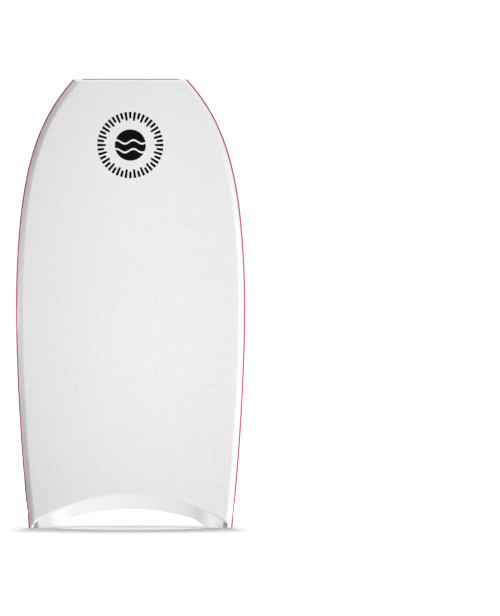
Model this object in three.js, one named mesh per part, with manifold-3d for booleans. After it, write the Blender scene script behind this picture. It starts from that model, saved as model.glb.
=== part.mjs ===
// A prone bodyboard standing on its tail, taken apart into the pieces it is glued up from:
// foam core, stringers, mesh, skins, rails and bumpers.
//
// Frame, in millimetres: X runs across the board, Z from the tail (0) to the nose, and the
// deck faces -Y. Every piece is first laid out on a straight, flat board and then bent.
// On the straight board a point has an inset (from the rail's outer line, inwards), a depth
// (from the deck's surface, 0, to the slick's, THICKNESS) and a place along the length.

import * as THREE from "three";
import { mergeVertices } from "three/addons/utils/BufferGeometryUtils.js";
import Module from "manifold-3d";

// Overall size: tail corners to nose, across the widest point, and deck to slick.
const LENGTH = 1067;
const WIDTH = 545;
const THICKNESS = 55;
const GLUE = 0.3; // the gap that every glue line leaves between two pieces

// Outline: the half width tapers from the wide point to the nose and to the tail.
const WIDE_POINT = 523;
const NOSE_TAPER_SQUARE = 0.2335;
const NOSE_TAPER_FIFTH = 0.2802;
const TAIL_TAPER = 0.1122;
const TAIL_TAPER_POWER = 1.8;

// Rocker: the front of the board curves up towards the deck.
const ROCKER_START = 587;
const ROCKER_LIFT = 45;

// Crescent tail: an arc in the deck's edge and a shallower one in the slick's edge.
const DECK_ARC_RISE = 80.8;
const DECK_ARC_RADIUS = 440.5;
const DECK_ARC_END = 229;
const DECK_ARC_CORNER = 242;
const SLICK_ARC_RISE = 42;
const SLICK_ARC_RADIUS = 500;
const SLICK_ARC_END = 195;
const SLICK_ARC_EASE = 45;
const CORNER_START = 205; // from here to DECK_ARC_END the tail face steepens into the corner
const TAIL_FADE = 220; // how far up the board the rows still follow the crescent

// Two drainage channels in the slick, deepest at the tail.
const CHANNEL_CENTRE = 178;
const CHANNEL_HALF_WIDTH = 47.5;
const CHANNEL_DEPTH = 9;
const CHANNEL_LENGTH = 320;

// Layers through the middle, as depths from the deck's surface.
const DECK_SKIN = [0, 5];
const CORE = [5.3, 49.5];
const MESH = [49.8, 50.4];
const BACKING = [50.7, 53.7];
const SLICK = [54, 55];

// Rail section: its surface as [inset, depth] corners, and the glue lines across it.
const CHINE_FOOT = 13;
const PINLINE_FOOT = 17;
const APEX_FOOT = 30;
const RAIL_FOOT = 50;
const SLICK_PINLINE_FOOT = 53.2;
const CHINE_INSET = 2.5;
const RAIL_FOOT_INSET = 12.6;
const SLICK_PINLINE_INSET = 17.2;
const OUTER_RAIL_INSET = 13;
const INNER_RAIL_INSET = 22.5;
const RAIL_SURFACE = [
  [OUTER_RAIL_INSET, 0],
  [CHINE_INSET, CHINE_FOOT],
  [0, PINLINE_FOOT],
  [0, APEX_FOOT],
  [RAIL_FOOT_INSET, RAIL_FOOT],
  [SLICK_PINLINE_INSET, SLICK_PINLINE_FOOT],
  [INNER_RAIL_INSET, THICKNESS],
];

// On the slick's side the rail narrows towards the nose, by a share of its width.
const NARROW_START = 640;
const NOSE_NARROWING = 0.42;

// End pieces: the bumpers, and how far short of the board's ends the layers stop.
const TAIL_BUMPER = 8;
const TAIL_LIP = 1.3;
const SLICK_TAIL_END = 5.5;
const NOSE_BUMPER_FACE = 3;
const NOSE_BUMPER_BACK = 9.7;
const NOSE_BEVEL_DEPTH = 13;
const SLICK_NOSE_END = 4.7;

// Stringers: two carbon tubes in blind bores, opened from the tail and plugged with foam.
const STRINGER_OFFSET = 95;
const STRINGER_DEPTH = 27.4;
const STRINGER_RADIUS = 5;
const STRINGER_WALL = 1.2;
const STRINGER_TAIL = 112;
const STRINGER_NOSE = 800;
const CAP_FLANGE = 2;
const CAP_SPIGOT = 8;
const PLUG_TAIL = 66;
const BORE_START = 20;
const ROUND_SIDES = 24;

// Columns across half the board, as shares of its half width, and rows along it.
const HALF_COLUMNS = [0, 0.2, 0.4, 0.58, 0.69, 0.8, 0.91, 1];
const ROW_COUNT = 16;
const ROW_CLEARANCE = 6;
const BEND_PASSES = 4;
const SLOPE_STEP = 0.5;

const wasm = await Module();
wasm.setup();

const smoothstep = (share) => THREE.MathUtils.smoothstep(share, 0, 1);

// Half the board's width at a height above the tail.
function halfWidth(z) {
  if (z >= WIDE_POINT) {
    const toNose = (z - WIDE_POINT) / (LENGTH - WIDE_POINT);
    return (WIDTH / 2) * (1 - NOSE_TAPER_SQUARE * toNose ** 2 - NOSE_TAPER_FIFTH * toNose ** 5);
  }
  const toTail = (WIDE_POINT - z) / WIDE_POINT;
  return (WIDTH / 2) * (1 - TAIL_TAPER * toTail ** TAIL_TAPER_POWER);
}

// The line that runs a given distance inside the outline, measured square to it.
function insetLine(z, inset) {
  const slope = (halfWidth(z + SLOPE_STEP) - halfWidth(z - SLOPE_STEP)) / (2 * SLOPE_STEP);
  return halfWidth(z) - inset * Math.hypot(1, slope);
}

// The share of its width that the slick side's edge keeps at a height.
function slickShare(z) {
  return 1 - NOSE_NARROWING * smoothstep((z - NARROW_START) / (LENGTH - NARROW_START));
}

function rocker(z) {
  const share = Math.max(0, (z - ROCKER_START) / (LENGTH - ROCKER_START));
  return ROCKER_LIFT * share ** 2;
}

function arcHeight(across, rise, radius) {
  return rise - radius + Math.sqrt(radius ** 2 - across ** 2);
}

// Height of the tail cut at the deck's edge: the arc, then a straight line down to the corner.
function deckArc(across) {
  const end = arcHeight(DECK_ARC_END, DECK_ARC_RISE, DECK_ARC_RADIUS);
  if (across < DECK_ARC_END) {
    return arcHeight(across, DECK_ARC_RISE, DECK_ARC_RADIUS);
  }
  return end * Math.max(0, (DECK_ARC_CORNER - across) / (DECK_ARC_CORNER - DECK_ARC_END));
}

// Height of the tail cut at the slick's edge, which eases into a straight foot at each corner.
function slickArc(across) {
  const ease = smoothstep((SLICK_ARC_END - across) / SLICK_ARC_EASE);
  return Math.max(0, arcHeight(Math.min(across, SLICK_ARC_END), SLICK_ARC_RISE, SLICK_ARC_RADIUS)) * ease;
}

// Height of the tail cut anywhere in the thickness. Near the corners only the chine slopes,
// so that the rails end square and the board can stand on them.
function tailCut(x, depth) {
  const across = Math.abs(x);
  const corner = smoothstep((across - CORNER_START) / (DECK_ARC_END - CORNER_START));
  const slopeDepth = THREE.MathUtils.lerp(THICKNESS, CHINE_FOOT, corner);
  const fromDeck = deckArc(across) * Math.max(0, 1 - depth / slopeDepth);
  return fromDeck + (slickArc(across) * depth) / THICKNESS;
}

function channel(x, z) {
  const across = Math.min(1, Math.abs(Math.abs(x) - CHANNEL_CENTRE) / CHANNEL_HALF_WIDTH);
  const along = 1 - smoothstep(z / CHANNEL_LENGTH);
  return CHANNEL_DEPTH * along * 0.5 * (1 + Math.cos(Math.PI * across));
}

// Bends a point of the straight board: onto its line across, round the tail, and up the rocker.
function bend(lineAcross, depth, along) {
  const fade = 1 - smoothstep(along / TAIL_FADE);
  let z = along;
  for (let pass = 0; pass < BEND_PASSES; pass += 1) {
    z = along + fade * tailCut(lineAcross(z), depth);
  }
  const x = lineAcross(z);
  const share = THREE.MathUtils.clamp((depth - CORE[0]) / (CORE[1] - CORE[0]), 0, 1);
  const y = depth - THICKNESS / 2 - channel(x, z) * share - rocker(z);
  return new THREE.Vector3(x, y, z);
}

// Rows along the board, closest together at its two ends, between a start and an end.
function rowsBetween(start, end) {
  const rows = [start];
  for (let row = 1; row < ROW_COUNT; row += 1) {
    const along = (LENGTH * (1 - Math.cos((Math.PI * row) / ROW_COUNT))) / 2;
    if (along > start + ROW_CLEARANCE && along < end - ROW_CLEARANCE) {
      rows.push(along);
    }
  }
  rows.push(end);
  return rows;
}

function columns() {
  const left = HALF_COLUMNS.slice(1).reverse();
  return [...left.map((share) => -share), ...HALF_COLUMNS];
}

// Closes a list of triangles into one geometry whose faces point outwards.
function closedGeometry(points, triangles) {
  let volume = 0;
  for (const [a, b, c] of triangles) {
    volume += points[a].dot(new THREE.Vector3().crossVectors(points[b], points[c]));
  }
  const facing = volume > 0 ? triangles : triangles.map(([a, b, c]) => [a, c, b]);
  const geometry = new THREE.BufferGeometry().setFromPoints(points);
  geometry.setIndex(facing.flat());
  const merged = mergeVertices(geometry);
  merged.computeVertexNormals();
  return merged;
}

// Adds one side of a block: a grid of points where one axis stays at a level, and the
// triangles over it, flipped where the side would otherwise face inwards.
function addBlockSide(points, triangles, counts, fixed, level, pointAt) {
  const [first, second] = [0, 1, 2].filter((axis) => axis !== fixed);
  const start = points.length;
  for (let i = 0; i < counts[first]; i += 1) {
    for (let j = 0; j < counts[second]; j += 1) {
      const place = [];
      place[fixed] = level;
      place[first] = i;
      place[second] = j;
      points.push(pointAt(...place));
    }
  }
  const flip = (level === 0) !== (fixed === 1);
  const corner = (i, j) => start + i * counts[second] + j;
  for (let i = 0; i < counts[first] - 1; i += 1) {
    for (let j = 0; j < counts[second] - 1; j += 1) {
      const [a, b, c, d] = [corner(i, j), corner(i + 1, j), corner(i + 1, j + 1), corner(i, j + 1)];
      triangles.push(flip ? [a, c, b] : [a, b, c], flip ? [a, d, c] : [a, c, d]);
    }
  }
}

// A block of layers x rows x columns, meshed on its six sides. Each small face is split from
// its lowest corner to its highest, so that two blocks that share a face split it alike.
function blockGeometry(counts, pointAt) {
  const points = [];
  const triangles = [];
  for (const fixed of [0, 1, 2]) {
    for (const level of [0, counts[fixed] - 1]) {
      addBlockSide(points, triangles, counts, fixed, level, pointAt);
    }
  }
  return closedGeometry(points, triangles);
}

// A sheet over the board between two insets, as thick as its layer.
function sheetGeometry(layer, inset, start, end, narrows = false) {
  const rows = rowsBetween(start, end);
  const shares = columns();
  const insetAt = (z) => inset * (narrows ? slickShare(z) : 1);
  const pointAt = (level, row, column) =>
    bend((z) => shares[column] * insetLine(z, insetAt(z)), layer[level], rows[row]);
  return blockGeometry([layer.length, rows.length, shares.length], pointAt);
}

// A section swept through stations. Quads split from the shallower corner, as blocks do.
function sweptGeometry(section, stationCount, pointAt) {
  const points = [];
  const triangles = [];
  const size = section.length;
  for (let station = 0; station < stationCount; station += 1) {
    section.forEach((corner) => points.push(pointAt(station, corner)));
  }
  for (let station = 0; station < stationCount - 1; station += 1) {
    for (let p = 0; p < size; p += 1) {
      const q = (p + 1) % size;
      const near = station * size;
      const far = near + size;
      const deeper = section[q][1] - section[p][1] || section[q][0] - section[p][0];
      if (deeper > 0) {
        triangles.push([near + p, near + q, far + q], [near + p, far + q, far + p]);
      } else {
        triangles.push([near + p, near + q, far + p], [near + q, far + q, far + p]);
      }
    }
  }
  const outline = section.map(([a, b]) => new THREE.Vector2(a, b));
  const last = (stationCount - 1) * size;
  const clockwise = THREE.ShapeUtils.isClockWise(outline);
  for (const [a, b, c] of THREE.ShapeUtils.triangulateShape(outline, [])) {
    const [first, second] = clockwise ? [b, c] : [c, b];
    triangles.push([a, first, second], [last + a, last + second, last + first]);
  }
  return closedGeometry(points, triangles);
}

// The inset of the rail's surface at a depth.
function railInset(depth) {
  const next = RAIL_SURFACE.findIndex(([, corner]) => corner >= depth);
  if (next <= 0) {
    return RAIL_SURFACE[0][0];
  }
  const [insetA, depthA] = RAIL_SURFACE[next - 1];
  const [insetB, depthB] = RAIL_SURFACE[next];
  return THREE.MathUtils.mapLinear(depth, depthA, depthB, insetA, insetB);
}

// The section of a rail strip between two depths, from the rail's surface to an inner wall,
// as [inset, depth, narrows] corners. The surface narrows towards the nose past the apex, and
// so does the inner wall of the strips that lie beside the slick.
function stripSection(top, foot, inner) {
  const between = RAIL_SURFACE.filter(([, depth]) => depth > top && depth < foot);
  const surface = [[railInset(top), top], ...between, [railInset(foot), foot]];
  const section = surface.map(([inset, depth]) => [inset, depth, depth > APEX_FOOT]);
  const besideSlick = top >= RAIL_FOOT;
  if (railInset(foot) < inner) {
    section.push([inner, foot, besideSlick]);
  }
  if (railInset(top) < inner) {
    section.push([inner, top, besideSlick]);
  }
  return section;
}

// The nose end of the rails, bevelled with the nose bumper on the deck's side.
function noseEnd(depth) {
  const bevel = Math.max(0, 1 - depth / NOSE_BEVEL_DEPTH);
  return LENGTH - NOSE_BUMPER_FACE - (NOSE_BUMPER_BACK - NOSE_BUMPER_FACE) * bevel;
}

function stripGeometry(side, section, noseLimit) {
  const rows = rowsBetween(0, LENGTH);
  const pointAt = (station, [inset, depth, narrows]) => {
    const along = Math.min(rows[station], noseLimit(depth));
    const insetAt = (z) => inset * (narrows ? slickShare(z) : 1);
    return bend((z) => side * insetLine(z, insetAt(z)), depth, along);
  };
  return sweptGeometry(section, rows.length, pointAt);
}

// A bumper: a section of [along, depth] corners swept across the board.
function bumperGeometry(section, inset) {
  const shares = columns();
  const pointAt = (column, [along, depth]) =>
    bend((z) => shares[column] * insetLine(z, inset), depth, along);
  return sweptGeometry(section, shares.length, pointAt);
}

// A turned piece about a stringer's axis: [radius, height] corners, height upwards.
function turnedGeometry(profile, side, base) {
  const corners = profile.map(([radius, height]) => new THREE.Vector2(radius, height));
  const geometry = new THREE.LatheGeometry(corners, ROUND_SIDES);
  geometry.rotateX(Math.PI / 2);
  geometry.translate(side * STRINGER_OFFSET, STRINGER_DEPTH - THICKNESS / 2, base);
  return geometry;
}

function rodGeometry(radius, side, base, height) {
  const profile = [
    [0, 0],
    [radius, 0],
    [radius, height],
    [0, height],
  ];
  return turnedGeometry(profile, side, base);
}

function tubeGeometry(side) {
  const inner = STRINGER_RADIUS - STRINGER_WALL;
  const height = STRINGER_NOSE - STRINGER_TAIL - 2 * (CAP_FLANGE + GLUE);
  const profile = [
    [inner, 0],
    [STRINGER_RADIUS, 0],
    [STRINGER_RADIUS, height],
    [inner, height],
    [inner, 0],
  ];
  return turnedGeometry(profile, side, STRINGER_TAIL + CAP_FLANGE + GLUE);
}

// A stringer's end cap: a flange over the tube's end and a spigot inside it.
function capGeometry(side, end) {
  const spigot = STRINGER_RADIUS - STRINGER_WALL - GLUE;
  const inwards = end === "tail" ? 1 : -1;
  const flangeTop = CAP_FLANGE * inwards;
  const spigotTop = (CAP_FLANGE + CAP_SPIGOT) * inwards;
  const profile = [
    [0, 0],
    [STRINGER_RADIUS, 0],
    [STRINGER_RADIUS, flangeTop],
    [spigot, flangeTop],
    [spigot, spigotTop],
    [0, spigotTop],
  ];
  const ordered = end === "tail" ? profile : profile.reverse();
  return turnedGeometry(ordered, side, end === "tail" ? STRINGER_TAIL : STRINGER_NOSE);
}

// A solid that can be cut, made from a geometry with its shared corners merged, and back again.
function toSolid(geometry) {
  const bare = new THREE.BufferGeometry();
  bare.setAttribute("position", geometry.getAttribute("position").clone());
  bare.setIndex(geometry.getIndex().clone());
  const merged = mergeVertices(bare);
  const vertProperties = merged.getAttribute("position").array;
  const triVerts = Uint32Array.from(merged.getIndex().array);
  return new wasm.Manifold(new wasm.Mesh({ numProp: 3, vertProperties, triVerts }));
}

function toGeometry(solid) {
  const mesh = solid.getMesh();
  const geometry = new THREE.BufferGeometry();
  geometry.setAttribute("position", new THREE.BufferAttribute(mesh.vertProperties, 3));
  geometry.setIndex(new THREE.BufferAttribute(mesh.triVerts, 1));
  geometry.computeVertexNormals();
  return geometry;
}

function boreCutter(side) {
  const height = STRINGER_NOSE + GLUE - BORE_START;
  const geometry = new THREE.CylinderGeometry(
    STRINGER_RADIUS + GLUE,
    STRINGER_RADIUS + GLUE,
    height,
    ROUND_SIDES,
  );
  geometry.rotateX(Math.PI / 2);
  const middle = BORE_START + height / 2;
  geometry.translate(side * STRINGER_OFFSET, STRINGER_DEPTH - THICKNESS / 2, middle);
  return toSolid(geometry);
}

function coreGeometry() {
  const inset = INNER_RAIL_INSET + GLUE;
  const end = LENGTH - NOSE_BUMPER_BACK - GLUE;
  let solid = toSolid(sheetGeometry(CORE, inset, TAIL_BUMPER + GLUE, end));
  for (const side of [-1, 1]) {
    solid = solid.subtract(boreCutter(side));
  }
  return toGeometry(solid);
}

const board = new THREE.Group();
board.position.y = rocker(LENGTH - NOSE_BUMPER_BACK) / 2;

// Finishes: the foams, the film, the net, the tubes and their caps.
const WHITE_SKIN = { color: 0xe8e8e8, roughness: 0.8 };
const WHITE_RAIL = { color: 0xe8e8e8, roughness: 0.6 };
const RED_RAIL = { color: 0xd8002c, roughness: 0.6 };
const PALE_RAIL = { color: 0xffe1e4, roughness: 0.6 };
const BEAD_FOAM = { color: 0xf4f2ea, roughness: 0.9 };
const BLACK_FOAM = { color: 0x141416, roughness: 0.7 };
const RED_FILM = { color: 0xd8002c, roughness: 0.25 };
const GREY_NET = { color: 0x5c6168, roughness: 0.7 };
const CARBON = { color: 0x202226, roughness: 0.35 };
const BLACK_CAP = { color: 0x141416, roughness: 0.5 };

function addPiece(name, geometry, finish) {
  const mesh = new THREE.Mesh(geometry, new THREE.MeshStandardMaterial({ ...finish, metalness: 0 }));
  mesh.name = name;
  board.add(mesh);
}

function addMiddle() {
  const inset = INNER_RAIL_INSET + GLUE;
  const hiddenNose = LENGTH - NOSE_BUMPER_BACK - GLUE;
  const deckInset = OUTER_RAIL_INSET + GLUE;
  addPiece("deck_skin", sheetGeometry(DECK_SKIN, deckInset, 0, hiddenNose), WHITE_SKIN);
  addPiece("core_foam", coreGeometry(), BEAD_FOAM);
  const meshTail = TAIL_BUMPER + GLUE;
  addPiece("mesh_layer", sheetGeometry(MESH, inset, meshTail, hiddenNose), GREY_NET);
  const backingTail = TAIL_LIP + GLUE;
  addPiece("slick_backing", sheetGeometry(BACKING, inset, backingTail, LENGTH, true), BLACK_FOAM);
  const slickNose = LENGTH - SLICK_NOSE_END;
  const slick = sheetGeometry(SLICK, inset, SLICK_TAIL_END, slickNose, true);
  addPiece("slick_skin", slick, RED_FILM);
}

// The tail bumper's lip has the backing's corners, so that their facing sides split alike.
function addBumpers() {
  const [top, foot] = CORE;
  const tail = [
    [0, top],
    [0, foot],
    [0, THICKNESS],
    [TAIL_LIP, THICKNESS],
    [TAIL_LIP, BACKING[1]],
    [TAIL_LIP, BACKING[0]],
    [TAIL_LIP, foot],
    [TAIL_BUMPER, foot],
    [TAIL_BUMPER, top],
  ];
  addPiece("tail_bumper", bumperGeometry(tail, INNER_RAIL_INSET + GLUE), WHITE_RAIL);
  const face = LENGTH - NOSE_BUMPER_FACE;
  const back = LENGTH - NOSE_BUMPER_BACK;
  const nose = [
    [back, 0],
    [face, NOSE_BEVEL_DEPTH],
    [face, foot],
    [back, foot],
  ];
  addPiece("nose_bumper", bumperGeometry(nose, OUTER_RAIL_INSET + GLUE), WHITE_RAIL);
}

function addRail(side, name) {
  const outer = OUTER_RAIL_INSET;
  const inner = INNER_RAIL_INSET;
  const add = (piece, section, finish, end = noseEnd) =>
    addPiece(`${piece}_${name}`, stripGeometry(side, section, end), finish);
  add("chine", stripSection(0, CHINE_FOOT - GLUE, outer), WHITE_RAIL);
  add("pinline", stripSection(CHINE_FOOT, PINLINE_FOOT - GLUE, outer), RED_RAIL);
  add("outer_rail", stripSection(PINLINE_FOOT, RAIL_FOOT - GLUE, outer), WHITE_RAIL);
  add("slick_pinline", stripSection(RAIL_FOOT, SLICK_PINLINE_FOOT - GLUE, inner), PALE_RAIL);
  add("slick_edge", stripSection(SLICK_PINLINE_FOOT, THICKNESS, inner), RED_RAIL);
  const innerRail = [
    [outer + GLUE, CORE[0]],
    [outer + GLUE, RAIL_FOOT - GLUE],
    [inner, RAIL_FOOT - GLUE],
    [inner, CORE[0]],
  ];
  const behindBumper = () => LENGTH - NOSE_BUMPER_BACK - GLUE;
  add("inner_rail", innerRail, WHITE_RAIL, behindBumper);
}

function addStringer(side, name) {
  addPiece(`stringer_${name}`, tubeGeometry(side), CARBON);
  addPiece(`stringer_cap_tail_${name}`, capGeometry(side, "tail"), BLACK_CAP);
  addPiece(`stringer_cap_nose_${name}`, capGeometry(side, "nose"), BLACK_CAP);
  const plugHeight = STRINGER_TAIL - GLUE - PLUG_TAIL;
  const plug = rodGeometry(STRINGER_RADIUS, side, PLUG_TAIL, plugHeight);
  addPiece(`stringer_plug_${name}`, plug, BEAD_FOAM);
}

addMiddle();
addBumpers();
for (const [side, name] of [
  [-1, "left"],
  [1, "right"],
]) {
  addRail(side, name);
  addStringer(side, name);
}

export default board;
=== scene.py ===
"""A prone bodyboard standing on its tail, finished for rendering around its CAD frame.

Shapes are worked out in millimetres on a straight, flat board and then bent, as the CAD is:
a point has an inset (from the rail's outer line, inwards), a depth (from the deck's surface
to the slick's) and a place along the length. bend() turns that into metres in the frame.
"""

import math

import bmesh
import bpy
import numpy as np
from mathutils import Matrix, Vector


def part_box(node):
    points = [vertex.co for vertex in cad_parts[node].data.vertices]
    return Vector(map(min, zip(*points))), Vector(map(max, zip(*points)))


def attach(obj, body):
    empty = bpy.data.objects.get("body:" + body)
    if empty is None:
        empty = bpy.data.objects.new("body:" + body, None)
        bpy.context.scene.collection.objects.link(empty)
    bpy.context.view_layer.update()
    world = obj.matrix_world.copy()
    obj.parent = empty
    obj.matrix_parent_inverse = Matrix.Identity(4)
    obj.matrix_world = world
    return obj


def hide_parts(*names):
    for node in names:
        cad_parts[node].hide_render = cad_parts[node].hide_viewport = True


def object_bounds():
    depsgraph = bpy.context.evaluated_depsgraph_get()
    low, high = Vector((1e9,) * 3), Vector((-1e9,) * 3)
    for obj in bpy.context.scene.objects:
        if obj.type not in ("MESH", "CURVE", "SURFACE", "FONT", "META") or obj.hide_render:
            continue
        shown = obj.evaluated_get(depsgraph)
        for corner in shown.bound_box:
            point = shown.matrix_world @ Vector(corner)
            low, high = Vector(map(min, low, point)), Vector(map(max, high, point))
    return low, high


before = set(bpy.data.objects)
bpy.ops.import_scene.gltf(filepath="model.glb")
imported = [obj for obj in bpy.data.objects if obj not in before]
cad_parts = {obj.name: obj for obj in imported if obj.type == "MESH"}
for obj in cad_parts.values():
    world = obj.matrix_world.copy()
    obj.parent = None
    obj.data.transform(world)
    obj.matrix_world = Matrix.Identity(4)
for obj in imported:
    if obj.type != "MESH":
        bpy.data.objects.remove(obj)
cad_low, cad_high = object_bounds()

MM = 0.001
BODY = "root"

# Overall size, from the frame, and the board's thickness.
LENGTH = cad_high.z / MM
HALF_WIDTH = cad_high.x / MM
SLICK_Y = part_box("slick_skin")[1].y / MM
THICKNESS = 55.0
DECK_Y = SLICK_Y - THICKNESS

# Outline, rocker, crescent tail and channels, as the CAD has them.
WIDE_POINT = 523.0
NOSE_TAPER_SQUARE, NOSE_TAPER_FIFTH = 0.2335, 0.2802
TAIL_TAPER, TAIL_TAPER_POWER = 0.1122, 1.8
ROCKER_START, ROCKER_LIFT = 587.0, 45.0
DECK_ARC_RISE, DECK_ARC_RADIUS, DECK_ARC_END, DECK_ARC_CORNER = 80.8, 440.5, 229.0, 242.0
SLICK_ARC_RISE, SLICK_ARC_RADIUS, SLICK_ARC_END, SLICK_ARC_EASE = 42.0, 500.0, 195.0, 45.0
CORNER_START = 205.0
TAIL_FADE = 220.0
CHANNEL_CENTRE, CHANNEL_HALF_WIDTH, CHANNEL_DEPTH, CHANNEL_LENGTH = 178.0, 47.5, 9.0, 320.0

# Layers and glue lines, as depths from the deck's surface and insets from the rail line.
GLUE = 0.3
DECK_SKIN_FOOT = 5.0
CORE_TOP, CORE_FOOT = 5.3, 49.5
MESH_TOP, MESH_FOOT = 49.8, 50.4
BACKING_TOP, BACKING_FOOT = 50.7, 53.7
SLICK_TOP = 54.0
CHINE_FOOT, PINLINE_FOOT, RAIL_FOOT, SLICK_PINLINE_FOOT = 13.0, 17.0, 50.0, 53.2
CHINE_INSET, APEX_FOOT = 2.5, 30.0
RAIL_FOOT_INSET, SLICK_PINLINE_INSET = 12.6, 17.2
OUTER_RAIL_INSET, INNER_RAIL_INSET = 13.0, 22.5
NARROW_START, NOSE_NARROWING = 640.0, 0.42
TAIL_BUMPER, TAIL_LIP, SLICK_TAIL_END = 8.0, 1.3, 5.5
NOSE_BUMPER_FACE, NOSE_BUMPER_BACK, NOSE_BEVEL_DEPTH = 3.0, 9.7, 13.0
NOSE_BEVEL_LENGTH = 60.0
SLICK_NOSE_END = 4.7

# A print's height over its surface. The slick's film stops that far short of the board's face.
PRINT_FILM = 0.06

# Close seams between visible pieces, and how far the deck rolls over into the chine.
SEAM = 0.1
PINLINE_TOP = 12.4
ROLL_REACH = 5.5
CHINE_SLOPE = CHINE_FOOT / (OUTER_RAIL_INSET - CHINE_INSET)

# Mesh fineness, in millimetres between rows, and the steps round a small edge.
FINE_ROW, SHEET_ROW, SHEET_COLUMN = 5.0, 7.0, 7.0
EDGE_STEPS = 4
MARGIN_STEPS = 6

# How often bend() works out a point's height, which shifts its place across, before it settles.
BEND_ROUNDS = 4


# ---------------------------------------------------------------- shape of the board


def smoothstep(share):
    share = np.clip(share, 0.0, 1.0)
    return share * share * (3.0 - 2.0 * share)


def half_width(z):
    nose = np.clip((z - WIDE_POINT) / (LENGTH - WIDE_POINT), 0.0, None)
    tail = np.clip((WIDE_POINT - z) / WIDE_POINT, 0.0, None)
    to_nose = NOSE_TAPER_SQUARE * nose**2 + NOSE_TAPER_FIFTH * nose**5
    return HALF_WIDTH * (1.0 - to_nose - TAIL_TAPER * tail**TAIL_TAPER_POWER)


def inset_line(z, inset):
    """The line that runs a distance inside the outline, measured square to it."""
    slope = half_width(z + 0.5) - half_width(z - 0.5)
    return half_width(z) - inset * np.hypot(1.0, slope)


def slick_share(z):
    """The share of its width that the slick side's edge keeps, less towards the nose."""
    return 1.0 - NOSE_NARROWING * smoothstep((z - NARROW_START) / (LENGTH - NARROW_START))


def rocker(z):
    share = np.clip((z - ROCKER_START) / (LENGTH - ROCKER_START), 0.0, None)
    return ROCKER_LIFT * share**2


def arc_height(across, rise, radius):
    return rise - radius + np.sqrt(radius**2 - across**2)


def deck_arc(across):
    """Height of the tail cut at the deck's edge: an arc, then a straight line to the corner."""
    arc = arc_height(np.minimum(across, DECK_ARC_END), DECK_ARC_RISE, DECK_ARC_RADIUS)
    past = (DECK_ARC_CORNER - across) / (DECK_ARC_CORNER - DECK_ARC_END)
    return arc * np.clip(past, 0.0, 1.0)


def slick_arc(across):
    """Height of the tail cut at the slick's edge, easing into a straight foot."""
    arc = arc_height(np.minimum(across, SLICK_ARC_END), SLICK_ARC_RISE, SLICK_ARC_RADIUS)
    return np.clip(arc, 0.0, None) * smoothstep((SLICK_ARC_END - across) / SLICK_ARC_EASE)


def tail_cut(x, depth):
    across = np.abs(x)
    corner = smoothstep((across - CORNER_START) / (DECK_ARC_END - CORNER_START))
    slope_depth = THICKNESS + (CHINE_FOOT - THICKNESS) * corner
    from_deck = deck_arc(across) * np.clip(1.0 - depth / slope_depth, 0.0, None)
    return from_deck + slick_arc(across) * depth / THICKNESS


def channel(x, z):
    across = np.minimum(1.0, np.abs(np.abs(x) - CHANNEL_CENTRE) / CHANNEL_HALF_WIDTH)
    along = 1.0 - smoothstep(z / CHANNEL_LENGTH)
    return CHANNEL_DEPTH * along * 0.5 * (1.0 + np.cos(np.pi * across))


def surface_point(x, depth, z):
    """A point of the bent board, in metres, from its place across, depth and height."""
    share = np.clip((depth - CORE_TOP) / (CORE_FOOT - CORE_TOP), 0.0, 1.0)
    y = DECK_Y + depth - channel(x, z) * share - rocker(z)
    return np.stack(np.broadcast_arrays(x, y, z), axis=-1) * MM


def bend(share, inset, depth, along):
    """Bends a point of the straight board onto its line, round the tail and up the rocker."""
    fade = 1.0 - smoothstep(along / TAIL_FADE)
    z = along
    for _ in range(BEND_ROUNDS):
        z = along + fade * tail_cut(share * inset_line(z, inset), depth)
    return surface_point(share * inset_line(z, inset), depth, z)


def edge_roll(inset):
    """Depth of the deck's face near the rail, curving from level into the chine's slope."""
    past = np.clip((OUTER_RAIL_INSET + ROLL_REACH - inset) / (2.0 * ROLL_REACH), 0.0, None)
    curve = CHINE_SLOPE * ROLL_REACH * np.minimum(past, 1.0) ** 2
    return curve + CHINE_SLOPE * 2.0 * ROLL_REACH * np.maximum(past - 1.0, 0.0)


def nose_end(depth):
    """Where the rails stop at the nose, bevelled with the bumper on the deck's side."""
    bevel = np.clip(1.0 - depth / NOSE_BEVEL_DEPTH, 0.0, 1.0)
    return LENGTH - NOSE_BUMPER_FACE - (NOSE_BUMPER_BACK - NOSE_BUMPER_FACE) * bevel


# ---------------------------------------------------------------- meshes


def make_object(name, points, faces, material, stands_for=()):
    """A closed mesh object, smooth, riding on the board and standing for CAD nodes."""
    mesh = bpy.data.meshes.new(name)
    mesh.from_pydata([tuple(p) for p in points], [], faces)
    cleaner = bmesh.new()
    cleaner.from_mesh(mesh)
    bmesh.ops.recalc_face_normals(cleaner, faces=cleaner.faces)
    cleaner.to_mesh(mesh)
    cleaner.free()
    mesh.polygons.foreach_set("use_smooth", [True] * len(mesh.polygons))
    mesh.materials.append(material)
    piece = bpy.data.objects.new(name, mesh)
    bpy.context.scene.collection.objects.link(piece)
    flatten = piece.modifiers.new("weighted_normals", "WEIGHTED_NORMAL")
    flatten.keep_sharp = False
    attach(piece, BODY)
    if stands_for:
        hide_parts(*stands_for)
    return piece


def grid_faces(start, rows, columns):
    """Quads over a grid of rows x columns vertices that starts at an index."""
    faces = []
    for i in range(rows - 1):
        for j in range(columns - 1):
            a = start + i * columns + j
            faces.append((a, a + 1, a + columns + 1, a + columns))
    return faces


def rim(radius):
    """Steps round a small edge, as (distance in from the edge, drop below the face)."""
    angles = np.linspace(0.0, math.pi / 2, EDGE_STEPS + 1)
    return [(radius * (1 - math.cos(a)), radius * (1 - math.sin(a))) for a in angles]


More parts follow.
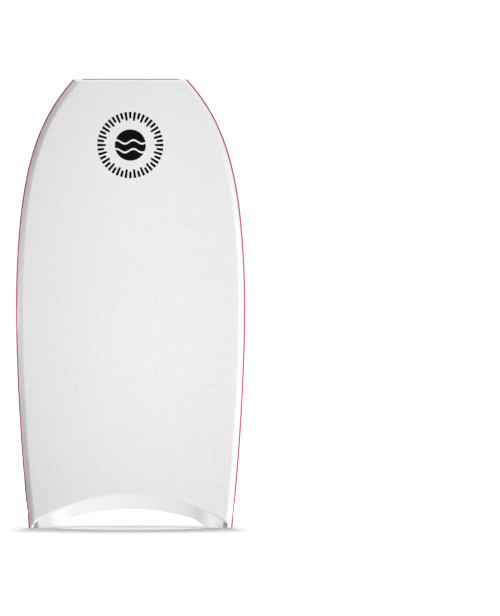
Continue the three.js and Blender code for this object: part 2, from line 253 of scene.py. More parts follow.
def stations(start, end, step, low_radius, high_radius):
    """Places along an edge-to-edge run as (place, drop), with a rounded rim at both ends."""
    count = max(2, round((end - start) / step))
    inner = np.linspace(start + low_radius, end - high_radius, count)
    low = [(start + offset, drop) for offset, drop in rim(low_radius)]
    high = [(end - offset, drop) for offset, drop in reversed(rim(high_radius))]
    return low + [(place, 0.0) for place in inner[1:-1]] + high


def columns_across(step, radius, margin=0.0):
    """Columns from rail to rail as (share, distance in, drop), closer near both rails."""
    reach = radius + margin
    near = [(radius + margin * k / MARGIN_STEPS, 0.0) for k in range(1, MARGIN_STEPS)]
    edge = rim(radius) + (near if margin else [])
    shares = np.linspace(-1.0, 1.0, round(2 * HALF_WIDTH / step))
    if not margin:
        shares = shares[1:-1]
    left = [(-1.0, offset, drop) for offset, drop in edge]
    right = [(1.0, offset, drop) for offset, drop in reversed(edge)]
    return left + [(share, reach, 0.0) for share in shares] + right


def border(start, rows, columns):
    """The indices round the edge of a grid of vertices, in order."""
    loop = [start + j for j in range(columns)]
    loop += [start + i * columns + columns - 1 for i in range(1, rows)]
    loop += [start + (rows - 1) * columns + j for j in range(columns - 2, -1, -1)]
    loop += [start + i * columns for i in range(rows - 2, 0, -1)]
    return loop


def closed_grids(start, rows, columns):
    """Faces of two equal grids, one after the other, joined round their edges."""
    size = rows * columns
    faces = grid_faces(start, rows, columns) + grid_faces(start + size, rows, columns)
    loop = border(start, rows, columns)
    for a, b in zip(loop, loop[1:] + loop[:1]):
        faces.append((a, b, b + size, a + size))
    return faces


def sheet(name, layer, inset, run, radii, material, node, rolled=False, narrows=False):
    """A sheet over the board between two insets, with a rounded rim all round.

    layer is its (top, foot) depths, run its (start, end) along the board, and radii the
    rim's radius at the (rails, tail, nose). A sheet beside the slick's edge narrows with it.
    """
    margin = 2.0 * ROLL_REACH if rolled else 0.0
    columns = columns_across(SHEET_COLUMN, radii[0], margin)
    share, extra, drop_across = np.array(columns).T[:, None, :]
    rows = stations(*run, SHEET_ROW, *radii[1:])
    along, drop_along = np.array(rows).T[:, :, None]
    drop = np.maximum(drop_across, drop_along)
    roll = edge_roll(inset + extra) if rolled else 0.0
    top, foot = layer
    edge = inset * (slick_share(along) if narrows else 1.0) + extra
    grids = [bend(share, edge, depth, along) for depth in (top + roll + drop, foot - drop)]
    points = np.concatenate([grid.reshape(-1, 3) for grid in grids])
    faces = closed_grids(0, *drop.shape)
    return make_object(name, points, faces, material, [node])


def rounded(corners):
    """A closed outline from (x, y, radius) corners, each softened by its own curve."""
    outline = []
    count = len(corners)
    for index, (x, y, radius) in enumerate(corners):
        here = np.array([x, y])
        if radius == 0.0:
            outline.append(here)
            continue
        ends = []
        for other in (corners[index - 1], corners[(index + 1) % count]):
            line = np.array(other[:2]) - here
            length = np.linalg.norm(line)
            ends.append(here + line / length * min(radius, 0.45 * length))
        for t in np.linspace(0.0, 1.0, EDGE_STEPS + 1):
            outline.append((1 - t) ** 2 * ends[0] + 2 * t * (1 - t) * here + t**2 * ends[1])
    return np.array(outline)


def shrunk(section, drop):
    """The section drawn in by a distance on each side, for a rounded end."""
    middle = (section.max(axis=0) + section.min(axis=0)) / 2
    half = (section.max(axis=0) - section.min(axis=0)) / 2
    return middle + (section - middle) * (1.0 - drop / half)


def swept(name, rings, material, stands_for):
    """A closed solid through rings of points, its two ends closed by fans."""
    size = len(rings[0])
    faces = []
    for k in range(len(rings) - 1):
        for p in range(size):
            q = (p + 1) % size
            faces.append((k * size + p, k * size + q, (k + 1) * size + q, (k + 1) * size + p))
    centres = [rings[0].mean(axis=0), rings[-1].mean(axis=0)]
    points = np.concatenate([*rings, centres])
    for hub, first in ((len(points) - 2, 0), (len(points) - 1, (len(rings) - 1) * size)):
        for p in range(size):
            faces.append((hub, first + p, first + (p + 1) % size))
    return make_object(name, points, faces, material, stands_for)


def strip(name, side, corners_at, material, end=None, radius=0.25):
    """A rail strip: (inset, depth, radius) corners swept from the tail to the nose.

    corners_at gives the corners for the share of its width that the slick side keeps.
    """
    limit = LENGTH - NOSE_BUMPER_FACE
    rings = []
    for place, drop in stations(0.0, limit, FINE_ROW, radius, radius):
        section = rounded(corners_at(slick_share(place)))
        inset, depth = shrunk(section, drop).T
        stop = nose_end(depth) if end is None else np.full_like(depth, end)
        near_nose = max(0.0, (place - limit) / NOSE_BEVEL_LENGTH + 1.0)
        rings.append(bend(side, inset, depth, place - near_nose * (limit - stop)))
    return swept(name, rings, material, [name])


def bumper(name, corners, inset, material, radius=0.25):
    """A bumper: (along, depth, radius) corners swept across the board."""
    section = rounded(corners)
    rings = []
    for share, extra, drop in columns_across(FINE_ROW, radius):
        along, depth = shrunk(section, drop).T
        rings.append(bend(share, inset + extra, depth, along))
    return swept(name, rings, material, [name])


# ---------------------------------------------------------------- materials


class Nodes:
    """A small helper that adds nodes to a material and links them by name."""

    def __init__(self, name):
        self.material = bpy.data.materials.new(name)
        self.material.use_nodes = True
        self.tree = self.material.node_tree
        self.shader = self.tree.nodes["Principled BSDF"]
        place = self.tree.nodes.new("ShaderNodeTexCoord")
        self.place = place.outputs["Object"]

    def put(self, socket, value):
        target = self.shader.inputs[socket]
        if isinstance(value, bpy.types.NodeSocket):
            self.tree.links.new(value, target)
        else:
            target.default_value = value

    def stretched(self, scale):
        """The object's coordinates, scaled by (x, y, z)."""
        mapping = self.tree.nodes.new("ShaderNodeMapping")
        mapping.inputs["Scale"].default_value = scale
        self.tree.links.new(self.place, mapping.inputs["Vector"])
        return mapping.outputs["Vector"]

    def noise(self, scale, detail=3.0, vector=None, roughness=0.55):
        node = self.tree.nodes.new("ShaderNodeTexNoise")
        node.inputs["Scale"].default_value = scale
        node.inputs["Detail"].default_value = detail
        node.inputs["Roughness"].default_value = roughness
        self.tree.links.new(vector or self.place, node.inputs["Vector"])
        return node.outputs["Fac"]

    def cells(self, scale, feature="SMOOTH_F1"):
        node = self.tree.nodes.new("ShaderNodeTexVoronoi")
        node.feature = feature
        node.inputs["Scale"].default_value = scale
        self.tree.links.new(self.place, node.inputs["Vector"])
        return node.outputs["Distance"]

    def spread(self, value, low, high, start=0.3, stop=0.7):
        """Maps a pattern's start..stop range onto low..high."""
        node = self.tree.nodes.new("ShaderNodeMapRange")
        for name, number in (
            ("From Min", start),
            ("From Max", stop),
            ("To Min", low),
            ("To Max", high),
        ):
            node.inputs[name].default_value = number
        self.tree.links.new(value, node.inputs["Value"])
        return node.outputs["Result"]

    def colours(self, value, first, second):
        """A colour between two by a pattern's value from 0 to 1."""
        node = self.tree.nodes.new("ShaderNodeMix")
        node.data_type = "RGBA"
        # The node's colours are its inputs 6 and 7, and its output 2.
        node.inputs[6].default_value = (*first, 1.0)
        node.inputs[7].default_value = (*second, 1.0)
        self.tree.links.new(value, node.inputs[0])
        return node.outputs[2]

    def bump(self, height, distance, strength=1.0, under=None):
        node = self.tree.nodes.new("ShaderNodeBump")
        node.inputs["Distance"].default_value = distance
        node.inputs["Strength"].default_value = strength
        self.tree.links.new(height, node.inputs["Height"])
        if under is not None:
            self.tree.links.new(under, node.inputs["Normal"])
        return node.outputs["Normal"]


def grey(level):
    return (level, level, level)


def deck_foam():
    """Cross-linked foam skin: a fine pebble grain with a faint mottle."""
    n = Nodes("deck_foam")
    mottle = n.noise(270.0, 2.0)
    clouds = n.noise(9.0, 2.0)
    grain = n.spread(mottle, 0.0, 1.0, 0.25, 0.75)
    n.put("Base Color", n.colours(grain, grey(0.745), grey(0.825)))
    n.put("Roughness", n.spread(clouds, 0.62, 0.74))
    pebbles = n.bump(n.cells(560.0), 0.0005, 0.35)
    n.put("Normal", n.bump(n.noise(1300.0, 2.0), 0.0002, 0.2, pebbles))
    n.put("Specular IOR Level", 0.12)
    return n.material


def rail_foam(name, dark, light, speckle):
    """Smooth heat-sealed foam: fine pores, a faint speckle and a satin sheen along the strip."""
    n = Nodes(name)
    pores = n.cells(900.0)
    streaks = n.noise(14.0, 3.0, n.stretched((6.0, 6.0, 1.0)))
    grain = n.spread(n.noise(330.0, 2.0), 0.5 - speckle, 0.5 + speckle)
    n.put("Base Color", n.colours(grain, grey(dark), grey(light)))
    n.put("Roughness", n.spread(streaks, 0.42, 0.54, 0.0, 1.0))
    n.put("Normal", n.bump(pores, 0.0003, 0.25))
    n.put("Specular IOR Level", 0.3)
    return n.material


def strip_foam(name, first, second):
    """A dyed foam strip, of the same foam as the rails."""
    n = Nodes(name)
    tone = n.spread(n.noise(60.0, 3.0), 0.0, 1.0)
    n.put("Base Color", n.colours(tone, first, second))
    n.put("Roughness", n.spread(n.noise(200.0, 2.0), 0.45, 0.58))
    n.put("Normal", n.bump(n.cells(900.0), 0.0003, 0.25))
    n.put("Specular IOR Level", 0.2)
    return n.material


def slick_film():
    """Satin ionomer film: an even dye, and a slow waviness under a low gloss."""
    n = Nodes("slick_film")
    tone = n.spread(n.noise(4.0, 2.0), 0.0, 1.0, 0.0, 1.0)
    n.put("Base Color", n.colours(tone, (0.665, 0.0002, 0.028), (0.695, 0.0003, 0.031)))
    n.put("Roughness", n.spread(n.noise(9.0, 2.0), 0.28, 0.36, 0.0, 1.0))
    n.put("Normal", n.bump(n.noise(11.0, 0.0), 0.001, 0.05))
    n.put("Specular IOR Level", 0.03)
    n.put("Coat Weight", 0.25)
    n.put("Coat Roughness", 0.17)
    return n.material


def backing_foam():
    n = Nodes("backing_foam")
    tone = n.spread(n.noise(300.0, 3.0), 0.0, 1.0)
    n.put("Base Color", n.colours(tone, (0.006, 0.006, 0.007), (0.013, 0.013, 0.015)))
    n.put("Roughness", n.spread(n.noise(120.0, 2.0), 0.55, 0.7))
    n.put("Normal", n.bump(n.cells(1100.0), 0.0003, 0.3))
    return n.material


def print_ink(name, first, second, roughness):
    """Screen-printed ink, which takes a little of the surface's grain."""
    n = Nodes(name)
    cover = n.spread(n.noise(700.0, 2.0), 0.0, 1.0)
    n.put("Base Color", n.colours(cover, first, second))
    n.put("Roughness", n.spread(n.noise(300.0, 2.0), roughness - 0.06, roughness + 0.06))
    n.put("Normal", n.bump(n.cells(620.0), 0.0003, 0.25))
    n.put("Specular IOR Level", 0.03)
    return n.material


def bead_foam():
    """Expanded bead foam: welded beads a few millimetres across."""
    n = Nodes("bead_foam")
    beads = n.cells(260.0, "F1")
    tone = n.spread(beads, 0.0, 1.0, 0.1, 0.6)
    n.put("Base Color", n.colours(tone, (0.90, 0.885, 0.83), (0.72, 0.705, 0.65)))
    n.put("Roughness", n.spread(n.noise(500.0, 2.0), 0.75, 0.9))
    n.put("Normal", n.bump(beads, 0.0012, 0.6))
    return n.material


def net_weave():
    """A plastic net, shown by two crossed sets of raised bars."""
    n = Nodes("net_weave")
    bars = []
    for direction in ("X", "Z"):
        wave = n.tree.nodes.new("ShaderNodeTexWave")
        wave.bands_direction = direction
        wave.inputs["Scale"].default_value = 63.0
        n.tree.links.new(n.place, wave.inputs["Vector"])
        bars.append(wave.outputs["Fac"])
    top = n.tree.nodes.new("ShaderNodeMath")
    top.operation = "MAXIMUM"
    n.tree.links.new(bars[0], top.inputs[0])
    n.tree.links.new(bars[1], top.inputs[1])
    tone = n.spread(top.outputs[0], 0.0, 1.0, 0.6, 0.95)
    n.put("Base Color", n.colours(tone, (0.03, 0.032, 0.036), (0.18, 0.19, 0.21)))
    n.put("Roughness", n.spread(n.noise(200.0, 2.0), 0.5, 0.65))
    n.put("Normal", n.bump(tone, 0.0004, 0.8))
    return n.material


def carbon_wrap():
    """Carbon tube: a spiral wrap under clear resin."""
    n = Nodes("carbon_wrap")
    wave = n.tree.nodes.new("ShaderNodeTexWave")
    wave.bands_direction = "DIAGONAL"
    wave.inputs["Scale"].default_value = 90.0
    wave.inputs["Distortion"].default_value = 1.5
    n.tree.links.new(n.place, wave.inputs["Vector"])
    tone = n.spread(wave.outputs["Fac"], 0.0, 1.0, 0.2, 0.8)
    n.put("Base Color", n.colours(tone, (0.008, 0.008, 0.009), (0.035, 0.035, 0.038)))
    n.put("Roughness", n.spread(n.noise(250.0, 2.0), 0.3, 0.42))
    n.put("Normal", n.bump(tone, 0.0002, 0.4))
    n.put("Coat Weight", 0.6)
    return n.material


def moulded_black():
    n = Nodes("moulded_black")
    tone = n.spread(n.noise(400.0, 2.0), 0.0, 1.0)
    n.put("Base Color", n.colours(tone, (0.012, 0.012, 0.013), (0.022, 0.022, 0.024)))
    n.put("Roughness", n.spread(n.noise(600.0, 3.0), 0.45, 0.6))
    n.put("Normal", n.bump(n.noise(1200.0, 2.0), 0.00015, 0.5))
    return n.material


# ---------------------------------------------------------------- the board's pieces


def build_sheets(deck, film, backing, net):
    under_nose = LENGTH - NOSE_BUMPER_BACK - SEAM
    inset = INNER_RAIL_INSET + SEAM
    skin = sheet(
        "deck_skin_top", (0.0, DECK_SKIN_FOOT), OUTER_RAIL_INSET + SEAM, (0.0, under_nose),
        (0.2, 1.8, 0.3), deck, "deck_skin", rolled=True,
    )
    sheet(
        "mesh_net", (MESH_TOP, MESH_FOOT), inset, (TAIL_BUMPER + GLUE, under_nose),
        (0.2, 0.2, 0.2), net, "mesh_layer",
    )
    sheet(
        "slick_backing_sheet", (BACKING_TOP, BACKING_FOOT), inset, (TAIL_LIP + SEAM, LENGTH - 0.4),
        (0.3, 0.3, 0.6), backing, "slick_backing", narrows=True,
    )
    slick = sheet(
        "slick_film", (SLICK_TOP, THICKNESS - PRINT_FILM), inset,
        (SLICK_TAIL_END, LENGTH - SLICK_NOSE_END), (0.3, 0.35, 0.35), film,
        "slick_skin", narrows=True,
    )
    # The film's red isn't thrown onto the pale floor.
    slick.visible_diffuse = False


def build_bumpers(foam):
    tail = [
        (0.0, CORE_TOP, 0.2),
        (0.0, THICKNESS, 1.0),
        (TAIL_LIP, THICKNESS, 0.3),
        (TAIL_LIP, CORE_FOOT, 0.3),
        (TAIL_BUMPER, CORE_FOOT, 0.4),
        (TAIL_BUMPER, CORE_TOP, 0.4),
    ]
    bumper("tail_bumper", tail, INNER_RAIL_INSET + SEAM, foam)
    face = LENGTH - NOSE_BUMPER_FACE
    back = LENGTH - NOSE_BUMPER_BACK
    nose = [
        (back, 0.0, 0.3),
        (face, NOSE_BEVEL_DEPTH, 5.0),
        (face, CORE_FOOT, 1.0),
        (back, CORE_FOOT, 0.4),
    ]
    bumper("nose_bumper", nose, OUTER_RAIL_INSET + SEAM, foam)


def chine_face():
    """The chine's face from the deck's seam down its curve, as corners of no radius."""
    insets = np.linspace(OUTER_RAIL_INSET, OUTER_RAIL_INSET - ROLL_REACH, MARGIN_STEPS)[1:]
    return [(inset, float(edge_roll(inset)), 0.0) for inset in insets]


def build_deck_strips(side, name, foam, red):
    """The chine and the red line under it."""
    outer = OUTER_RAIL_INSET
    chine_foot = PINLINE_TOP - SEAM
    chine = [(outer, float(edge_roll(outer)), 0.2)]
    chine += chine_face()
    chine += [(outer - chine_foot / CHINE_SLOPE, chine_foot, 0.5), (outer, chine_foot, 0.4)]
    strip(f"chine_{name}", side, lambda share: chine, foam)
    pin_foot = PINLINE_FOOT - SEAM
    pin_slope = (PINLINE_FOOT - PINLINE_TOP) / (outer - PINLINE_TOP / CHINE_SLOPE)
    pinline = [
        (outer - PINLINE_TOP / CHINE_SLOPE, PINLINE_TOP, 0.4),
        (SEAM / pin_slope, pin_foot, 0.4),
        (outer, pin_foot, 0.4),
        (outer, PINLINE_TOP, 0.4),
    ]
    strip(f"pinline_{name}", side, lambda share: pinline, red)


def build_rail_layers(side, name, foam):
    """The outer rail, which narrows on the slick's side, and the rail inside it."""
    outer, inner = OUTER_RAIL_INSET, INNER_RAIL_INSET
    rail_foot = RAIL_FOOT - SEAM

    def outer_rail(share):
        return [
            (0.0, PINLINE_FOOT, 0.5),
            (0.0, APEX_FOOT, 7.0),
            (RAIL_FOOT_INSET * share, rail_foot, 0.4),
            (outer, rail_foot, 0.3),
            (outer, PINLINE_FOOT, 0.4),
        ]

    strip(f"outer_rail_{name}", side, outer_rail, foam)
    inner_rail = [
        (outer + GLUE, CORE_TOP, 0.4),
        (outer + GLUE, rail_foot, 0.4),
        (inner, rail_foot, 0.4),
        (inner, CORE_TOP, 0.4),
    ]
    hidden = LENGTH - NOSE_BUMPER_BACK - GLUE
    strip(f"inner_rail_{name}", side, lambda share: inner_rail, foam, end=hidden)


def build_slick_strips(side, name, red, pale):
    """The pale line and the red strip between the rail and the slick."""
    foot = SLICK_PINLINE_FOOT - SEAM

    def slick_pinline(share):
        line, inner = SLICK_PINLINE_INSET * share, INNER_RAIL_INSET * share
        return [
            (RAIL_FOOT_INSET * share, RAIL_FOOT, 0.3),
            (line, foot, 0.3),
            (inner, foot, 0.3),
            (inner, RAIL_FOOT, 0.3),
        ]

    def slick_edge(share):
        line, inner = SLICK_PINLINE_INSET * share, INNER_RAIL_INSET * share
        return [
            (line, SLICK_PINLINE_FOOT, 0.3),
            (inner, THICKNESS, 0.2),
            (inner, SLICK_PINLINE_FOOT, 0.2),
        ]

    strip(f"slick_pinline_{name}", side, slick_pinline, pale)
    strip(f"slick_edge_{name}", side, slick_edge, red, radius=0.2)


def dress_hidden_nodes():
    """The core and stringers keep their CAD meshes and take procedural materials."""
    finishes = {
        "core_foam": bead_foam(),
        "stringer_plug": bead_foam(),
        "stringer_cap": moulded_black(),
        "stringer": carbon_wrap(),
    }
    for node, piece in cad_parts.items():
        for start in sorted(finishes, key=len, reverse=True):
            if node.startswith(start):
                piece.data.materials.clear()
                piece.data.materials.append(finishes[start])
                break


# ---------------------------------------------------------------- prints

# Sizes are in millimetres and angles in degrees. A badge is placed by its centre.
ROUNDEL_HEIGHT = 909.0
TICKS, TICK_HALF_ANGLE = 44, 2.35
LONG_TICK_INNER, SHORT_TICK_INNER, TICK_OUTER = 58.0, 63.0, 78.5
ROUNDEL_DISC, ROUNDEL_WAVE = 37.0, 4.2
SIDE_BADGE = (208.0, 546.0)
TAIL_BADGE_HEIGHT = 122.0
BADGE_DISC, BADGE_WAVE = 13.5, 2.2

# A disc's waves: the share of its radius that they span, their length as a share of it, and
# their phase. A level of PAST_DISC is beyond the disc, so that shape ends at the disc's edge.
WAVE_SPAN, WAVE_LENGTH, WAVE_PHASE = 0.985, 1.1, 0.4
PAST_DISC = 1.2

# The wavy line over the tail badge.
STROKE_LENGTH, STROKE_WIDTH, STROKE_HEIGHT = 76.0, 1.3, 44.0
STROKE_WAVE, STROKE_WAVE_LENGTH, STROKE_PHASE = 7.0, 19.0, 0.6


def ribbon_points(lower, upper, across, up):
    """A grid of (x, z) points between two edge curves, each a function of 0..1."""
    grid = []
    for v in np.linspace(0.0, 1.0, up + 1):
        for u in np.linspace(0.0, 1.0, across + 1):
            low, high = np.array(lower(u)), np.array(upper(u))
            grid.append(low * (1.0 - v) + high * v)
    return np.array(grid)


class Print:
    """A set of thin printed shapes on one face of the board, gathered into one piece."""

    def __init__(self, centre_x, centre_z, surface, outwards):
        self.centre = (centre_x, centre_z)
        self.outside = surface + outwards * PRINT_FILM
        self.inside = surface - outwards * PRINT_FILM
        self.points = []
        self.faces = []

    def ribbon(self, lower, upper, across, up=1):
        """Adds the closed shape between two edge curves, in millimetres about the centre."""
        grid = ribbon_points(lower, upper, across, up)
        x = grid[:, 0] + self.centre[0]
        z = grid[:, 1] + self.centre[1]
        start = len(self.points)
        for depth in (self.outside, self.inside):
            self.points.extend(surface_point(x, np.full_like(x, depth), z))
        self.faces += closed_grids(start, up + 1, across + 1)

    def arc(self, inner, outer, start_deg, end_deg, steps):
        """Adds a piece of a ring, its angles counted clockwise from the top."""

        def edge(radius):
            def at(u):
                angle = math.radians(start_deg + (end_deg - start_deg) * u)
                return radius * math.sin(angle), radius * math.cos(angle)

            return at

        self.ribbon(edge(inner), edge(outer), across=steps)

    def bar(self, x, z, width, height):
        """Adds a bar with round ends, centred at a point."""
        reach = height / 2

        def edge(sign):
            def at(u):
                place = (u - 0.5) * width
                into_end = max(0.0, abs(place) - (width / 2 - reach))
                return x + place, z + sign * math.sqrt(max(0.01, reach**2 - into_end**2))

            return at

        self.ribbon(edge(-1.0), edge(1.0), across=24)

    def build(self, name, material, slot):
        make_object(name, self.points, self.faces, material)


def wave_line(x, height, length, phase):
    return height * math.sin(2 * math.pi * x / length + phase)


def disc_wave(level, radius, height):
    """A wave across a disc, at a level from -1 to 1 of its radius, kept inside the disc."""

    def at(u):
        x = WAVE_SPAN * radius * (2.0 * u - 1.0)
        chord = math.sqrt(radius**2 - x**2)
        z = level * radius + wave_line(x, height, WAVE_LENGTH * radius, WAVE_PHASE)
        return x, max(-chord, min(chord, z))

    return at


def deck_roundel(ink):
    """A ring of plain ticks round a disc of three waves."""
    mark = Print(0.0, ROUNDEL_HEIGHT, 0.0, -1.0)
    for k in range(TICKS):
        middle = 360.0 * k / TICKS
        inner = LONG_TICK_INNER if k % 2 else SHORT_TICK_INNER
        start, end = middle - TICK_HALF_ANGLE, middle + TICK_HALF_ANGLE
        mark.arc(inner, TICK_OUTER, start, end, steps=2)
    for levels in ((-PAST_DISC, -0.42), (-0.30, 0.14), (0.26, PAST_DISC)):
        edges = [disc_wave(level, ROUNDEL_DISC, ROUNDEL_WAVE) for level in levels]
        mark.ribbon(*edges, across=40, up=4)
    mark.build("deck_print", ink, "backing")


def slick_print(centre_x, centre_z):
    """An empty print on the slick's film."""
    return Print(centre_x, centre_z, THICKNESS - PRINT_FILM, 1.0)


def side_badge(ink):
    """A small ring of bars near one rail, over three dots and two bars."""
    mark = slick_print(*SIDE_BADGE)
    mark.arc(21.5, 24.0, 0.0, 360.0, steps=48)
    for level, width in ((9.0, 22.0), (2.0, 34.0), (-5.0, 34.0), (-12.0, 20.0)):
        mark.bar(0.0, level, width, 4.2)
    for x in (-10.0, 0.0, 10.0):
        mark.bar(x, -46.0, 6.5, 5.5)
    for level, width, height in ((-62.0, 44.0, 6.0), (-76.0, 14.0, 8.0)):
        mark.bar(0.0, level, width, height)
    mark.build("slick_print_side", ink, "pinline_pale")


def stroke(sign):
    """One edge of a wavy line that swells and fades, as a function of 0..1."""

    def at(u):
        x = (u - 0.5) * STROKE_LENGTH
        fade = math.sin(math.pi * u) ** 0.7
        wave = wave_line(x, STROKE_WAVE, STROKE_WAVE_LENGTH, STROKE_PHASE) * fade
        return x, STROKE_HEIGHT + wave + sign * STROKE_WIDTH * (0.35 + fade)

    return at


def tail_badge(ink):
    """A disc of two waves under an arc, over four bars and under a wavy line."""
    mark = slick_print(0.0, TAIL_BADGE_HEIGHT)
    mark.arc(29.4, 31.0, -96.0, 96.0, steps=40)
    for levels in ((-PAST_DISC, -0.16), (0.16, PAST_DISC)):
        edges = [disc_wave(level, BADGE_DISC, BADGE_WAVE) for level in levels]
        mark.ribbon(*edges, across=24, up=3)
    bars = ((-18.5, 64.0, 1.3), (-28.5, 60.0, 4.6), (-36.0, 62.0, 1.3), (-45.0, 16.0, 8.0))
    for level, width, height in bars:
        mark.bar(0.0, level, width, height)
    mark.ribbon(stroke(-0.5), stroke(0.5), across=90)
    mark.build("slick_print_tail", ink, "pinline_pale")


# ---------------------------------------------------------------- camera, floor and lights

# The picture is 500 x 616 and spans this many metres at the board, whose place in it is given
# by how far the camera stands from the board's middle, to the right and up.
PICTURE_HEIGHT = 1462.4 * MM
CAMERA_RIGHT = 283.7 * MM
CAMERA_UP = 522.8 * MM
LENS = 400.0
SENSOR = 36.0

# The floor is a disc. It glows with these strengths inside and outside two radii, in metres.
FLOOR_REACH, FLOOR_SIDES = 60.0, 64
FLOOR_PLAIN, FLOOR_WHITE = 0.0, 1.2
GLOW_START, GLOW_END = 0.2, 0.68

# The world's strength to the eye, and as a light: from above, from below, and the share of
# that which comes from behind the board. It changes over a band either side of the middle.
WORLD_SEEN = 1.05
WORLD_ABOVE, WORLD_BELOW, WORLD_BEHIND = 0.2, 0.56, 0.25
WORLD_BAND = 0.2

# How wide the light behind the board spreads.
BACK_BEAM = math.radians(34.0)


def add_camera():
    data = bpy.data.cameras.new("camera")
    data.lens = LENS
    data.sensor_width = SENSOR
    data.clip_end = 200.0
    camera = bpy.data.objects.new("camera", data)
    distance = PICTURE_HEIGHT * LENS / SENSOR
    camera.location = (CAMERA_RIGHT, -distance, CAMERA_UP)
    camera.rotation_euler = (math.pi / 2, 0.0, 0.0)
    bpy.context.scene.collection.objects.link(camera)
    bpy.context.scene.camera = camera


def add_floor():
    """A pale matt floor that only the camera sees, glowing white away from the board."""
    n = Nodes("studio_floor")
    speckle = n.spread(n.noise(3.0, 2.0), 0.0, 1.0)
    n.put("Base Color", n.colours(speckle, grey(0.79), grey(0.81)))
    n.put("Roughness", 0.9)
    n.put("Specular IOR Level", 0.0)
    reach = n.tree.nodes.new("ShaderNodeVectorMath")
    reach.operation = "LENGTH"
    n.tree.links.new(n.place, reach.inputs[0])
    n.put("Emission Color", (1.0, 1.0, 1.0, 1.0))
    glow = n.spread(reach.outputs["Value"], FLOOR_PLAIN, FLOOR_WHITE, GLOW_START, GLOW_END)
    n.put("Emission Strength", glow)
    points = [(0.0, 0.0, 0.0)]
    for k in range(FLOOR_SIDES):
        angle = 2 * math.pi * k / FLOOR_SIDES
        points.append((FLOOR_REACH * math.cos(angle), FLOOR_REACH * math.sin(angle), 0.0))
    faces = [(0, 1 + k, 1 + (k + 1) % FLOOR_SIDES) for k in range(FLOOR_SIDES)]
    mesh = bpy.data.meshes.new("studio_floor")
    mesh.from_pydata(points, [], faces)
    mesh.materials.append(n.material)
    floor = bpy.data.objects.new("studio_floor", mesh)
    bpy.context.scene.collection.objects.link(floor)
    floor.visible_diffuse = False
    floor.visible_glossy = False
    floor.visible_shadow = False
    return floor


def link_group(name, floor, state):
    """A light-linking group that takes in the floor alone, or leaves it out."""
    group = bpy.data.collections.new(name)
    group.objects.link(floor)
    group.collection_objects[0].light_linking.link_state = state
    return group


def add_area_light(name, place, target, size, power, group):
    data = bpy.data.lights.new(name, "AREA")
    data.shape = "RECTANGLE"
    data.size, data.size_y = size
    data.energy = power
    light = bpy.data.objects.new(name, data)
    light.location = place
    aim = Vector(target) - Vector(place)
    light.rotation_euler = aim.to_track_quat("-Z", "Y").to_euler()
    light.visible_camera = False
    light.light_linking.receiver_collection = group
    bpy.context.scene.collection.objects.link(light)
    return light


def light_board(floor):
    """Soft lights on the board alone: in front, at its sides, behind, above and below."""
    group = link_group("lit_board", floor, "EXCLUDE")
    middle = (0.0, 0.0, 0.5)
    add_area_light("key_front", (2.35, -2.35, 0.55), middle, (0.9, 1.6), 52.5, group)
    add_area_light("strip_front", (0.0, -0.53, 0.5), middle, (0.15, 0.95), 1.3, group)
    for side in (-1.0, 1.0):
        place = (0.66 * side, -0.04, 0.53)
        add_area_light("fill_side", place, (0.0, -0.04, 0.53), (0.25, 0.3), 0.65, group)
    slick_middle = (0.0, 0.05, 0.5)
    key = add_area_light("key_back", (-2.8, 2.85, 0.45), slick_middle, (1.0, 1.0), 8.6, group)
    key.data.spread = BACK_BEAM
    # The slick's gloss shows the other lights only.
    key.visible_glossy = False
    add_area_light("fill_back", (0.52, 0.85, 0.45), slick_middle, (0.25, 0.4), 1.9, group)
    add_area_light("top", (0.0, 0.0, 2.7), middle, (0.5, 0.5), 22.0, group)
    add_area_light("low_side", (0.9, -0.2, -1.2), (0.0, 0.0, 0.05), (0.5, 0.5), 13.5, group)


def light_floor(floor):
    """Lights on the floor alone: a wide one above, and a low one that shines under the crescent."""
    group = link_group("lit_floor", floor, "INCLUDE")
    add_area_light("floor_top", (0.0, 0.3, 2.6), (0.0, 0.3, 0.0), (1.6, 3.0), 41.0, group)
    add_area_light("floor_low", (0.0, 2.0, 0.5), (0.0, 0.0, 0.0), (0.4, 0.2), 75.0, group)


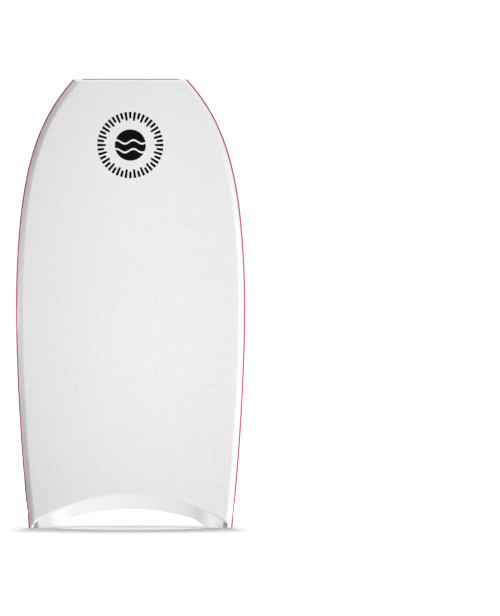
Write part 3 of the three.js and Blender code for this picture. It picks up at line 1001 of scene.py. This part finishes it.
def add_world():
    """A white studio: full white to the eye, dimmer as a light, brightest low in front."""
    world = bpy.data.worlds.new("studio")
    bpy.context.scene.world = world
    world.use_nodes = True
    tree = world.node_tree
    tree.nodes.clear()
    seen = tree.nodes.new("ShaderNodeBackground")
    lit = tree.nodes.new("ShaderNodeBackground")
    seen.inputs["Strength"].default_value = WORLD_SEEN
    for background in (seen, lit):
        background.inputs["Color"].default_value = (1.0, 1.0, 1.0, 1.0)
    place = tree.nodes.new("ShaderNodeTexCoord")
    parts = tree.nodes.new("ShaderNodeSeparateXYZ")
    tree.links.new(place.outputs["Generated"], parts.inputs["Vector"])
    strength = tree.nodes.new("ShaderNodeMath")
    strength.operation = "MULTIPLY"
    ramps = (("Z", WORLD_BELOW, WORLD_ABOVE), ("Y", 1.0, WORLD_BEHIND))
    for index, (axis, low, high) in enumerate(ramps):
        ramp = tree.nodes.new("ShaderNodeMapRange")
        ramp.interpolation_type = "SMOOTHSTEP"
        ramp.inputs["From Min"].default_value = -WORLD_BAND
        ramp.inputs["From Max"].default_value = WORLD_BAND
        ramp.inputs["To Min"].default_value = low
        ramp.inputs["To Max"].default_value = high
        tree.links.new(parts.outputs[axis], ramp.inputs["Value"])
        tree.links.new(ramp.outputs["Result"], strength.inputs[index])
    tree.links.new(strength.outputs["Value"], lit.inputs["Strength"])
    path = tree.nodes.new("ShaderNodeLightPath")
    mix = tree.nodes.new("ShaderNodeMixShader")
    output = tree.nodes.new("ShaderNodeOutputWorld")
    tree.links.new(path.outputs["Is Camera Ray"], mix.inputs["Fac"])
    tree.links.new(lit.outputs["Background"], mix.inputs[1])
    tree.links.new(seen.outputs["Background"], mix.inputs[2])
    tree.links.new(mix.outputs["Shader"], output.inputs["Surface"])


# ---------------------------------------------------------------- build everything

add_camera()
add_world()
studio_floor = add_floor()
light_board(studio_floor)
light_floor(studio_floor)

foam = rail_foam("rail_foam", 0.84, 0.88, 0.3)
# The rail layers are the same white foam as the chines, drawn in a darker grey as painted shade.
rail_foam_painted_shade = rail_foam("rail_foam_painted_shade", 0.42, 0.50, 0.5)
red_strip = strip_foam("pinline_red", (0.50, 0.010, 0.075), (0.58, 0.014, 0.090))
edge_strip = strip_foam("edge_red", (0.84, 0.040, 0.100), (0.90, 0.055, 0.125))
pale_strip = strip_foam("pinline_pale", (0.97, 0.87, 0.88), (1.0, 0.92, 0.93))
build_sheets(deck_foam(), slick_film(), backing_foam(), net_weave())
build_bumpers(foam)
for rail_side, rail_name in ((-1.0, "left"), (1.0, "right")):
    build_deck_strips(rail_side, rail_name, foam, red_strip)
    build_rail_layers(rail_side, rail_name, rail_foam_painted_shade)
    build_slick_strips(rail_side, rail_name, edge_strip, pale_strip)
dress_hidden_nodes()
deck_roundel(print_ink("deck_ink", grey(0.002), grey(0.006), 0.6))
slick_ink = print_ink("slick_ink", (0.92, 0.88, 0.88), (0.95, 0.93, 0.93), 0.4)
side_badge(slick_ink)
tail_badge(slick_ink)

bpy.context.scene.view_settings.view_transform = "Standard"
